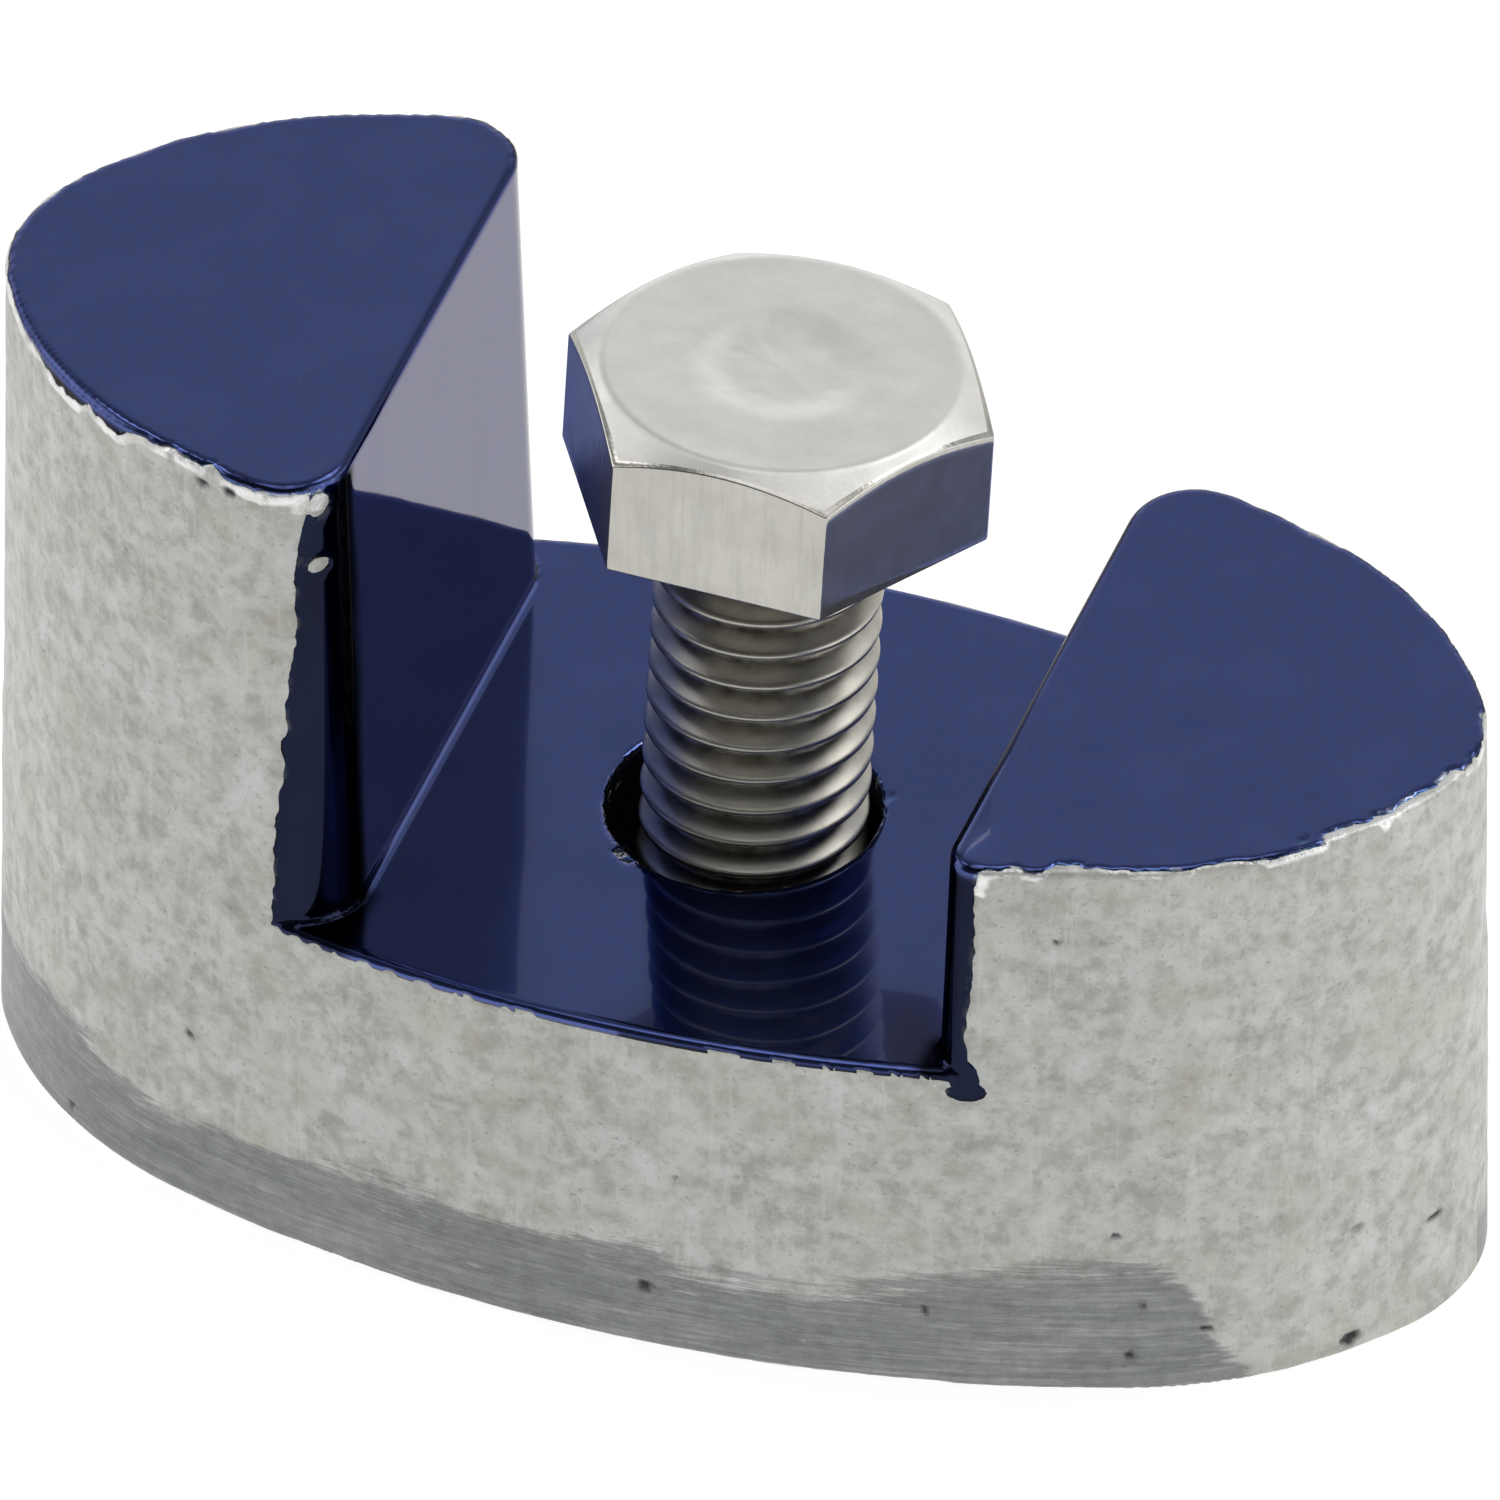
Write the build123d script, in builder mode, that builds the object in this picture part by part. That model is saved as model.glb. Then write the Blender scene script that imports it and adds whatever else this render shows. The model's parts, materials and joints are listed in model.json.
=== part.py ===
"""Cast saddle block with a notch across its top, a dark blue coat in the notch
and a loose M6 hex set screw standing in the hole in the notch floor.

Units are millimetres. +Z is up, X runs along the block, the tall prong is on -X.
The origin is the centre of the block's flat base.
"""
import os
from math import asin, cos, radians, sin, sqrt, tan

from build123d import *

os.makedirs("parts", exist_ok=True)

# ---- block -----------------------------------------------------------------
block_length = 40.0            # tip to tip, at the base
block_depth = 20.0             # front to back at the middle, at the base
side_reach = 0.65              # share of the half length that the long side arc covers
side_fall = 0.225              # share of the half depth that the long side arc falls
tip_turn = radians(60)         # tangent angle where the shoulder arc meets the tip arc
casting_draft = 0.5            # degrees, all round the outside
tall_height = 24.0             # base to the top of the tall prong
short_height = 16.8            # base to the top of the short prong
floor_height = 10.2            # base to the notch floor
notch_width = 16.0             # wall to wall at the notch floor
wall_draft = 1.8               # degrees, each notch wall leans outwards going up
notch_corner_round = 2.4       # rounding down the ends of the notch walls
ground_corner_round = 1.2      # the one wall end that is ground sharper, front of the short prong
base_edge = 0.3                # broken edge round the flat base
coat_thickness = 0.15          # cured paint film

# ---- hex set screw, M6 x 20, threaded to the head --------------------------
thread_size = 6.0
thread_pitch = 1.0
screw_length = 20.0            # tip to the underside of the head
head_flats = 10.0
head_height = 4.0
head_bevel_circle = 9.2        # circle that the 30 degree bevel leaves on the head's top
head_bevel_angle = 30.0
dish_width = 4.2               # shallow forging dish in the middle of the head
dish_depth = 0.2
crest_allowance = 0.05         # thread crests stand this far inside the nominal size, on diameter
hole_clearance = 1.0           # hole diameter over the thread size
lean_right = 0.040             # slope of the loose screw towards +X
lean_back = 0.035              # slope of the loose screw towards +Y
axis_back = 0.10               # the screw's axis passes this far behind the hole's centre

# ---- worked out from the above ---------------------------------------------
half_length = block_length / 2
half_depth = block_depth / 2
hole_radius = (thread_size + hole_clearance) / 2
crest_radius = (thread_size - crest_allowance) / 2
thread_depth = 0.6134 * thread_pitch
root_radius = crest_radius - thread_depth
corner_radius = head_flats / 2 / cos(radians(30))


def plan_outline(height):
    """Outline of the block seen from above at a height: side, shoulder and tip arcs, all tangent."""
    inset = height * tan(radians(casting_draft))
    long = half_length - inset
    deep = half_depth - inset
    reach = side_reach * long
    fall = side_fall * deep
    side_radius = (reach**2 + fall**2) / (2 * fall)
    side_turn = asin(reach / side_radius)
    # Shoulder and tip radii that close the gap from the side arc to the tip.
    a1 = sin(tip_turn) - sin(side_turn)
    b1 = 1 - sin(tip_turn)
    a2 = cos(side_turn) - cos(tip_turn)
    b2 = cos(tip_turn)
    run = long - reach
    drop = deep - fall
    det = a1 * b2 - a2 * b1
    shoulder_radius = (run * b2 - drop * b1) / det
    tip_radius = (a1 * drop - a2 * run) / det
    mid_turn = (side_turn + tip_turn) / 2
    joint = (long - tip_radius * b1, tip_radius * b2)
    bulge = (
        reach + shoulder_radius * (sin(mid_turn) - sin(side_turn)),
        drop - shoulder_radius * (cos(side_turn) - cos(mid_turn)),
    )
    for sx in (1, -1):
        for sy in (1, -1):
            start = (sx * reach, sy * drop)
            middle = (sx * bulge[0], sy * bulge[1])
            end = (sx * joint[0], sy * joint[1])
            ThreePointArc(start, middle, end)
        ThreePointArc((sx * joint[0], joint[1]), (sx * long, 0), (sx * joint[0], -joint[1]))
    for sy in (1, -1):
        ThreePointArc((-reach, sy * drop), (0, sy * deep), (reach, sy * drop))


def wall_x(height):
    """Distance of each notch wall from the middle at a height above the base."""
    return notch_width / 2 + (height - floor_height) * tan(radians(wall_draft))


def body_section(height):
    """Full plan of the block at a height."""
    with BuildSketch(Plane.XY.offset(height)) as section:
        with BuildLine():
            plan_outline(height)
        make_face()
    return section.sketch


def prong_section(side, height, front_round):
    """Plan of one prong at a height, its two notch corners rounded."""
    with BuildSketch(Plane.XY.offset(height)) as section:
        with BuildLine():
            plan_outline(height)
        make_face()
        with Locations((side * (wall_x(height) + block_length / 2), 0)):
            Rectangle(block_length, block_depth * 2, mode=Mode.INTERSECT)
        corners = section.vertices().filter_by_position(
            Axis.X, side * wall_x(height) - 0.01, side * wall_x(height) + 0.01
        ).sort_by(Axis.Y)
        fillet(corners[-1], notch_corner_round)
        corners = section.vertices().filter_by_position(
            Axis.X, side * wall_x(height) - 0.01, side * wall_x(height) + 0.01
        ).sort_by(Axis.Y)
        fillet(corners[0], front_round)
    return section.sketch


def block_form():
    """Whole outside shape, coat included."""
    loft([body_section(0), body_section(floor_height)], ruled=True)
    for side, top, front_round in (
        (-1, tall_height, notch_corner_round),
        (1, short_height, ground_corner_round),
    ):
        lower = prong_section(side, floor_height, front_round)
        upper = prong_section(side, top, front_round)
        loft([lower, upper], ruled=True)


def coat_zone_form():
    """Everywhere the coat lies: prong tops, notch walls, and the floor out to its flared corners."""
    t = coat_thickness
    side_step = t / cos(radians(wall_draft))
    with BuildSketch(Plane.XZ) as band:
        with BuildLine():
            Polyline(
                (-block_length, tall_height + t),
                (-block_length, tall_height - t),
                (-wall_x(tall_height - t) - side_step, tall_height - t),
                (-wall_x(floor_height - t) - side_step, floor_height - t),
                (wall_x(floor_height - t) + side_step, floor_height - t),
                (wall_x(short_height - t) + side_step, short_height - t),
                (block_length, short_height - t),
                (block_length, tall_height + t),
                close=True,
            )
        make_face()
    extrude(band.sketch, amount=block_depth, both=True)
    for side, end, corner_round in (
        (-1, -1, notch_corner_round),
        (-1, 1, notch_corner_round),
        (1, -1, ground_corner_round),
        (1, 1, notch_corner_round),
    ):
        # The flare stops short of the feather edge where the rounding runs out.
        reach = 0.8 * corner_round
        front_round = ground_corner_round if side > 0 else notch_corner_round
        with BuildSketch(Plane.XY.offset(floor_height)) as flare:
            with Locations((side * (notch_width / 2 + reach / 2), end * half_depth)):
                Rectangle(reach, half_depth)
            add(prong_section(side, floor_height, front_round), mode=Mode.SUBTRACT)
        extrude(flare.sketch, amount=-t)


def floor_hole():
    """Clearance hole for the screw."""
    with BuildSketch(Plane.XY.offset(-1)) as opening:
        Circle(hole_radius)
    extrude(opening.sketch, amount=floor_height + 2, mode=Mode.SUBTRACT)


with BuildPart() as whole_form:
    block_form()

with BuildPart() as coat_zone:
    coat_zone_form()

with BuildPart() as cast_block:
    add(whole_form.part)
    add(coat_zone.part, mode=Mode.SUBTRACT)
    floor_hole()
    base_rim = cast_block.faces().sort_by(Axis.Z)[0].outer_wire().edges()
    chamfer(base_rim, base_edge)

with BuildPart() as blue_coating:
    add(whole_form.part)
    add(coat_zone.part, mode=Mode.INTERSECT)
    floor_hole()

# ---- screw -----------------------------------------------------------------
lean = Vector(lean_right, lean_back, 1).normalized()
tip_flat = root_radius
tip_lift = tip_flat * sqrt(lean.X**2 + lean.Y**2)
mid_hole = Vector(0, axis_back, floor_height / 2)
screw_foot = mid_hole - lean * ((mid_hole.Z - tip_lift) / lean.Z)
screw_plane = Plane(origin=screw_foot, x_dir=Vector(lean.Z, 0, -lean.X), z_dir=lean)


def thread_ridge():
    """One helical ridge of ISO profile, running past both ends of the shank."""
    half_crest = thread_pitch / 16
    half_root = half_crest + thread_depth * tan(radians(30))
    sink = 0.12
    start = -thread_pitch
    run = screw_length + 1.3 * thread_pitch
    with BuildLine(Plane.XY.offset(start)) as ridge_path:
        Helix(pitch=thread_pitch, height=run, radius=root_radius)
    with BuildSketch(Plane.XZ) as ridge_section:
        with BuildLine():
            Polyline(
                (root_radius - sink, start - half_root),
                (root_radius, start - half_root),
                (crest_radius, start - half_crest),
                (crest_radius, start + half_crest),
                (root_radius, start + half_root),
                (root_radius - sink, start + half_root),
                close=True,
            )
        make_face()
    sweep(sections=ridge_section.sketch, path=ridge_path.wires()[0], is_frenet=True)


with BuildPart() as hex_bolt:
    thread_ridge()
    with BuildSketch(Plane.XY.offset(-3 * thread_pitch)):
        Circle(root_radius)
    extrude(amount=screw_length + 5 * thread_pitch)
    # Trim to length with a 45 degree lead-in at the tip.
    with BuildSketch(Plane.XZ):
        with BuildLine():
            Polyline(
                (0, 0),
                (tip_flat, 0),
                (tip_flat + thread_depth + 0.1, thread_depth + 0.1),
                (tip_flat + thread_depth + 0.1, screw_length + 0.5),
                (0, screw_length + 0.5),
                close=True,
            )
        make_face()
    revolve(axis=Axis.Z, mode=Mode.INTERSECT)
    with BuildSketch(Plane.XY.offset(screw_length)):
        RegularPolygon(corner_radius, 6)
    extrude(amount=head_height)
    # Bevel and dish, turned off the head's top.
    bevel_fall = (corner_radius + 1 - head_bevel_circle / 2) * tan(radians(head_bevel_angle))
    head_top = screw_length + head_height
    with BuildSketch(Plane.XZ):
        with BuildLine():
            Polyline(
                (head_bevel_circle / 2, head_top),
                (corner_radius + 1, head_top - bevel_fall),
                (corner_radius + 1, head_top + 1),
                (head_bevel_circle / 2, head_top + 1),
                close=True,
            )
        make_face()
    revolve(axis=Axis.Z, mode=Mode.SUBTRACT)
    with BuildSketch(Plane.XZ):
        with BuildLine():
            Polyline(
                (0, head_top - dish_depth),
                (dish_width / 2 - dish_depth, head_top - dish_depth),
                (dish_width / 2, head_top),
                (dish_width / 2, head_top + 1),
                (0, head_top + 1),
                close=True,
            )
        make_face()
    revolve(axis=Axis.Z, mode=Mode.SUBTRACT)

placed_bolt = hex_bolt.part.moved(screw_plane.location)

for label, shape in (
    ("cast_block", cast_block.part),
    ("blue_coating", blue_coating.part),
    ("hex_bolt", placed_bolt),
):
    shape.label = label
    export_step(shape, f"parts/{label}.step")
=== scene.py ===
import json
import math

import bpy
import numpy as np
from mathutils import Matrix, Vector


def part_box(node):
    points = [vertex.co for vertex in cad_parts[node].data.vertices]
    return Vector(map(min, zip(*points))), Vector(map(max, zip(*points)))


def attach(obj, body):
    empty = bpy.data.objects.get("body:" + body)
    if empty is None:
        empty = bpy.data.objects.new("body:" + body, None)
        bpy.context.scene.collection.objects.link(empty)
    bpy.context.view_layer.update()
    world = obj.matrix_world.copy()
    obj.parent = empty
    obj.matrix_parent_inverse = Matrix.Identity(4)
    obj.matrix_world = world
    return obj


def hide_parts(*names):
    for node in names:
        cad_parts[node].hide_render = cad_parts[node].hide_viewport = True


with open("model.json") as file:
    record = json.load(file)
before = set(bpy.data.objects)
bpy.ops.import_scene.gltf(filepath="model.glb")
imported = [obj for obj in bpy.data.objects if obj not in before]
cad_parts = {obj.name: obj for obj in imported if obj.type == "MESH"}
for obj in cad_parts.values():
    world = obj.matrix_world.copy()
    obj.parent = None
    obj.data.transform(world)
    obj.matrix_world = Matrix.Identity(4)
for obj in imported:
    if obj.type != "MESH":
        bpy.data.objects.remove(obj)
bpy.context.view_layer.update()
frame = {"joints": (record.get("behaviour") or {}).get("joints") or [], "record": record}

MM = 0.001

# ---------------------------------------------------------------- sizes, in mm, some read from the frame and the rest given
block_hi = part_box("cast_block")[1]
coat_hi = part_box("blue_coating")[1]
mounts = {m["name"]: m for m in frame["record"]["mounts"]}
HALF_L = block_hi.x / MM                         # half length at the base
HALF_D = block_hi.y / MM                         # half depth at the base
TALL = coat_hi.z / MM
SHORT = mounts["short_prong_top"]["pos_m"][2] / MM
FLOOR = mounts["notch_floor"]["pos_m"][2] / MM
WALL = 8.0                                       # notch half width at its floor
WALL_SLOPE = math.tan(math.radians(1.8))
DRAFT = math.tan(math.radians(0.5))
HOLE_R = 3.5
TOP_EDGE, FLOOR_EDGE, BASE_EDGE, HOLE_EDGE, NOTCH_FILLET = 0.26, 0.20, 0.25, 0.15, 0.11
FILM = 0.06                                      # the paint's thickness in the picture
screw_axis = Vector(frame["joints"][0]["axis"]).normalized()
screw_foot = Vector(mounts["screw_thread"]["pos_m"])

# The outline from above: a long side arc, a shoulder arc and a tip arc, joined where their directions agree.
REACH, FALL, TIP_TURN = 0.65 * HALF_L, 0.225 * HALF_D, math.radians(60)
R1 = (REACH ** 2 + FALL ** 2) / (2 * FALL)
T1 = math.asin(REACH / R1)
# The shoulder and tip arcs share the rest of the length and the depth.
R2, R3 = np.linalg.solve([[math.sin(TIP_TURN) - math.sin(T1), 1 - math.sin(TIP_TURN)],
                          [math.cos(T1) - math.cos(TIP_TURN), math.cos(TIP_TURN)]],
                         [HALF_L - REACH, HALF_D - FALL])


# ---------------------------------------------------------------- noise
def lattice(i, j, k, seed):
    h = (i.astype(np.int64) * 73856093) ^ (j.astype(np.int64) * 19349663) ^ (k.astype(np.int64) * 83492791)
    h = (h + seed * 2654435761) & 0xFFFFFFFF
    h = ((h ^ (h >> 15)) * 2246822519) & 0xFFFFFFFF
    h = ((h ^ (h >> 13)) * 3266489917) & 0xFFFFFFFF
    h = h ^ (h >> 16)
    return h.astype(np.float64) / 4294967295.0 * 2 - 1


def vnoise(P, size, seed):
    """Smooth value noise from -1 to 1; size is the blob size in mm, one number or three."""
    q = P / np.asarray(size, float) + 17.31 * seed
    i = np.floor(q)
    f = q - i
    u = f * f * f * (f * (f * 6 - 15) + 10)
    i = i.astype(np.int64)
    out = 0
    for dx in (0, 1):
        wx = u[:, 0] if dx else 1 - u[:, 0]
        for dy in (0, 1):
            wy = u[:, 1] if dy else 1 - u[:, 1]
            for dz in (0, 1):
                wz = u[:, 2] if dz else 1 - u[:, 2]
                out = out + wx * wy * wz * lattice(i[:, 0] + dx, i[:, 1] + dy, i[:, 2] + dz, seed)
    return out


def fbm(P, size, octaves, seed):
    total, amp, norm = 0, 1.0, 0
    size = np.asarray(size, float)
    for o in range(octaves):
        total = total + amp * vnoise(P, size / 2 ** o, seed + o)
        norm += amp
        amp *= 0.55
    return total / norm


def smooth(a, b, x):
    t = np.clip((x - a) / (b - a), 0, 1)
    return t * t * (3 - 2 * t)


def rmax(a, b, r):
    """Intersection of two fields with a round of radius r between them."""
    u = np.hypot(np.maximum(a + r, 0), np.maximum(b + r, 0))
    return np.minimum(np.maximum(a, b), -r) + u


def rmin(a, b, r):
    return -rmax(-a, -b, r)


# ---------------------------------------------------------------- the block as one smooth field
def outline(x, y):
    """Distance from the base outline: side, shoulder and tip arcs. Negative inside."""
    x, y = np.abs(x), np.abs(y)
    c1 = (0.0, HALF_D - R1)
    c2 = (c1[0] + (R1 - R2) * math.sin(T1), c1[1] + (R1 - R2) * math.cos(T1))
    c3 = (c2[0] + (R2 - R3) * math.sin(TIP_TURN), c2[1] + (R2 - R3) * math.cos(TIP_TURN))
    s1 = (x - c1[0]) * math.cos(T1) - (y - c1[1]) * math.sin(T1)
    s2 = (x - c2[0]) * math.cos(TIP_TURN) - (y - c2[1]) * math.sin(TIP_TURN)
    d1 = np.hypot(x - c1[0], y - c1[1]) - R1
    d2 = np.hypot(x - c2[0], y - c2[1]) - R2
    d3 = np.hypot(x - c3[0], y - c3[1]) - R3
    return np.where(s2 > 0, d3, np.where(s1 > 0, d2, d1))


def prong_top(x):
    return np.where(x < 0, TALL, SHORT)


def wall_at(z):
    return WALL + (z - FLOOR) * WALL_SLOPE


def corner_round(x, y):
    """Radius of a prong's upright corners. The short prong's front corner is sharper than the other three."""
    return np.where((x > 0) & (y < 0), 1.2, 2.4)


def solid(P):
    x, y, z = P[:, 0], P[:, 1], P[:, 2]
    side = outline(x, y) + z * DRAFT
    wall = wall_at(z)
    # Each prong is a column with widely rounded ends; the slab below keeps the full outline.
    left = rmax(rmax(side, x + wall, corner_round(x, y)), z - TALL, TOP_EDGE)
    right = rmax(rmax(side, wall - x, corner_round(x, y)), z - SHORT, TOP_EDGE)
    slab = rmax(side, z - FLOOR, FLOOR_EDGE)
    body = rmin(np.minimum(left, right), slab, NOTCH_FILLET)
    body = rmax(body, -z, BASE_EDGE)
    hole = HOLE_R - np.hypot(x, y)
    return rmax(body, hole, HOLE_EDGE)


def gradient(P, f, h=0.01):
    """Slope of the field f at the points P."""
    g = np.empty_like(P)
    for a in range(3):
        e = np.zeros(3)
        e[a] = h
        g[:, a] = (f(P + e) - f(P - e)) / (2 * h)
    return g


def project(P, f, level=0.0, rounds=4):
    """Moves points onto the field's level. level is one number or one per point."""
    for _ in range(rounds):
        g = gradient(P, f)
        s = f(P) - level
        P = P - g * (np.clip(s, -0.3, 0.3) / np.maximum((g ** 2).sum(1), 0.25))[:, None]
    return P


# ---------------------------------------------------------------- surface nets
def surface_net(f, lo, hi, h):
    """A quad mesh of the surface where f is zero, from a grid with step h between lo and hi."""
    n = np.ceil((np.asarray(hi) - lo) / h).astype(int) + 1
    axes = [lo[a] + h * np.arange(n[a]) for a in range(3)]
    values = np.empty(n)
    yy, zz = np.meshgrid(axes[1], axes[2], indexing="ij")
    for i, x in enumerate(axes[0]):
        Q = np.column_stack([np.full(yy.size, x), yy.ravel(), zz.ravel()])
        values[i] = f(Q).reshape(yy.shape)
    inside = values < 0
    c = np.zeros(n - 1, int)
    for dx in (0, 1):
        for dy in (0, 1):
            for dz in (0, 1):
                c += inside[dx:n[0] - 1 + dx, dy:n[1] - 1 + dy, dz:n[2] - 1 + dz]
    active = (c > 0) & (c < 8)
    index = -np.ones(n - 1, int)
    cells = np.argwhere(active)
    index[tuple(cells.T)] = np.arange(len(cells))
    # A cell's vertex is the mean of where its edges cross the surface.
    total = np.zeros((len(cells), 3))
    count = np.zeros(len(cells))
    for axis in range(3):
        others = [a for a in range(3) if a != axis]
        for u in (0, 1):
            for v in (0, 1):
                p = cells.copy()
                p[:, others[0]] += u
                p[:, others[1]] += v
                q = p.copy()
                q[:, axis] += 1
                a, b = values[tuple(p.T)], values[tuple(q.T)]
                cross = (a < 0) != (b < 0)
                t = np.where(cross, a / np.where(cross, a - b, 1), 0)
                pos = p.astype(float)
                pos[:, axis] += t
                total += pos * cross[:, None]
                count += cross
    V = np.asarray(lo) + h * total / count[:, None]
    quads = []
    for axis in range(3):
        o1, o2 = [(1, 2), (2, 0), (0, 1)][axis]
        m = [slice(None)] * 3
        m[axis] = slice(0, n[axis] - 1)
        a = inside[tuple(m)]
        m[axis] = slice(1, n[axis])
        b = inside[tuple(m)]
        for flip, sel in ((False, a & ~b), (True, ~a & b)):
            e = np.argwhere(sel)
            e = e[(e[:, o1] > 0) & (e[:, o2] > 0)]
            corner = []
            for d1, d2 in ((-1, -1), (0, -1), (0, 0), (-1, 0)):
                k = e.copy()
                k[:, o1] += d1
                k[:, o2] += d2
                corner.append(index[tuple(k.T)])
            q = np.column_stack(corner)
            quads.append(q[:, ::-1] if flip else q)
    return V, np.vstack(quads)


def relax(V, F, f, rounds):
    """Evens the mesh out along the surface."""
    edges = np.vstack([F[:, [0, 1]], F[:, [1, 2]], F[:, [2, 3]], F[:, [3, 0]]])
    for _ in range(rounds):
        total = np.zeros_like(V)
        count = np.zeros(len(V))
        for a, b in ((0, 1), (1, 0)):
            for k in range(3):
                total[:, k] += np.bincount(edges[:, a], V[edges[:, b], k], len(V))
            count += np.bincount(edges[:, a], minlength=len(V))
        V = V + 0.6 * (total / count[:, None] - V)
        V = project(V, f, rounds=2)
    return V


def unit_normals(P):
    N = gradient(P, solid)
    return N / np.linalg.norm(N, axis=1)[:, None]


# ---------------------------------------------------------------- where the paint lies
def rim(P):
    """How far a point is in from the rim of the nearest top, along the surface; negative down the side."""
    x, y, z = P[:, 0], P[:, 1], P[:, 2]
    column = rmax(outline(x, y) + z * DRAFT, wall_at(z) - np.abs(x), corner_round(x, y))
    return -column - (prong_top(x) - z)


def paint(P):
    """Above zero where the blue lies. Millimetres from its edge."""
    x, y, z = P[:, 0], P[:, 1], P[:, 2]
    side = outline(x, y) + z * DRAFT
    past_wall = np.abs(x) - wall_at(z)
    ragged = 0.09 * fbm(P, 1.1, 2, 3) + 0.12 * fbm(P, 0.42, 3, 11)
    # Prong tops. The coat sags over the front rim of the tall prong; the short prong's rim is knocked bare,
    # and that metal is painted near white, partly as a painted highlight.
    front = y < 0
    rough_edge = fbm(P, 0.5, 2, 37)
    run_over = (0.42 + 0.35 * rough_edge) * smooth(-19.5, -17.0, x) * smooth(-13.8, -14.8, x) * front
    run_over += 0.10 * smooth(-12.0, -11.0, x) * (x < 0) * front
    chipped = smooth(-0.35, 0.15, fbm(P, 0.9, 2, 31)) * smooth(-14.9, -14.2, x) * smooth(-11.2, -12.0, x)
    run_over -= 0.50 * chipped * front
    knocks = smooth(-0.12, 0.20, fbm(P, (1.3, 1.3, 6.0), 3, 33)) * smooth(9.6, 10.2, x)
    run_over -= (0.10 + 0.44 * knocks) * (x > 0) * front
    run_over -= 0.16 * (fbm(P, (1.2, 1.2, 4.0), 2, 29) > 0.22) * ~front
    top = rim(P) + 0.10 + run_over + 1.4 * ragged
    top = np.where(past_wall > -0.6, top, -9.0)
    # Notch walls, wrapping part of the way round their rounded ends.
    up = np.clip((z - FLOOR) / (TALL - FLOOR), 0, 1)
    wrap = np.where(x < 0, 1.98 - 1.35 * up, np.where(y < 0, 0.95, 1.7))
    wavy = 0.12 * vnoise(P * [0, 0, 1], 2.6, 41) + 0.16 * fbm(P, 0.55, 3, 43)
    wall = np.where(z > FLOOR - 0.2, wrap - past_wall + wavy, -9.0)
    # Floor, up to the front and back edges.
    from_edge = -side - (FLOOR - z) * (z < FLOOR)
    nick = smooth(-0.05, 0.20, fbm(P, (0.6, 0.6, 3.0), 2, 53)) * smooth(-6.5, -3.5, x) * (past_wall < -0.3)
    floor = np.where(past_wall < 1.6, from_edge - 0.02 + 0.8 * ragged - 0.30 * nick, -9.0)
    floor = np.where(z < FLOOR + 0.4, floor, -9.0)
    # A drip over the front edge, by the short prong's corner.
    drip = 0.36 - np.hypot((x - 9.0) / 1.6, (z - FLOOR + 0.62) * 1.15) + 0.8 * ragged
    stem = 0.42 - np.hypot((x - 8.9) / 1.0, (z - FLOOR + 0.2) * 0.8) + 0.6 * ragged
    drip = np.where(y < 0, np.maximum(drip, stem), -9.0)
    out = np.maximum(np.maximum(top, wall), np.maximum(floor, drip))
    # Chipped round the hole.
    r = np.hypot(x, y)
    bite = 0.02 + 0.30 * smooth(0.25, 0.6, fbm(P * [1, 1, 0], 0.8, 2, 61))
    near_hole = (r < 5) & (z < FLOOR + 0.5)
    out = np.where(near_hole, np.minimum(out, r - HOLE_R - bite + 0.08 * fbm(P, 0.3, 2, 67)), out)
    # Two small knocks on the front corner of the tall prong.
    for cz, cw, size, tall in ((23.3, 0.45, 0.20, 0.55), (21.4, 0.50, 0.24, 0.95)):
        knock = np.hypot(past_wall - cw, (z - cz) * tall) - size + 0.4 * ragged
        out = np.where((x < 0) & (y < 0) & (side > -1.5), np.minimum(out, knock), out)
    return out


def linish(P):
    """Above zero in the ground band round the foot. Millimetres from its ragged upper edge."""
    x, y, z = P[:, 0], P[:, 1], P[:, 2]
    xs = [-20.5, -17.5, -13.1, -10.0, -7.0, 1.0, 5.0, 9.7, 14.1, 15.3, 16.2, 21.0]
    front = np.interp(x, xs, [3.4, 3.7, 2.3, 2.7, 3.1, 2.9, 2.5, 3.5, 3.9, 1.2, -0.5, -0.6])
    back = 2.2 + 1.1 * np.sin(x * 0.23 + 1.0)
    edge = np.where(y < 0, front, back) + 0.45 * fbm(P, (2.2, 2.2, 0.8), 3, 71)
    return edge - z


# Dark pits on the front side: x, height and size in mm.
PITS = ((0.7, 2.0, 0.14), (13.4, 2.8, 0.09), (18.0, 0.45, 0.18), (8.0, 2.4, 0.08), (-12.0, 23.3, 0.14),
        (-11.2, 23.4, 0.12), (11.2, 14.5, 0.06), (12.3, 14.5, 0.05), (18.1, 4.0, 0.09), (12.7, 5.1, 0.07),
        (19.5, 3.2, 0.09), (-12.4, 5.4, 0.07), (1.5, 5.7, 0.06), (14.9, 1.9, 0.07), (13.1, 1.2, 0.06),
        (-16.3, 0.6, 0.05))


# ---------------------------------------------------------------- meshes
def make_mesh(name, V, F, attributes):
    """A smooth-shaded object from vertices in mm, faces and per-vertex numbers for the shaders."""
    mesh = bpy.data.meshes.new(name)
    mesh.from_pydata((np.asarray(V) * MM).tolist(), [], [list(map(int, f)) for f in F])
    mesh.update()
    for key, values in attributes.items():
        layer = mesh.attributes.new(key, "FLOAT", "POINT")
        layer.data.foreach_set("value", np.asarray(values, np.float32))
    for p in mesh.polygons:
        p.use_smooth = True
    o = bpy.data.objects.new(name, mesh)
    bpy.context.scene.collection.objects.link(o)
    return o


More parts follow.
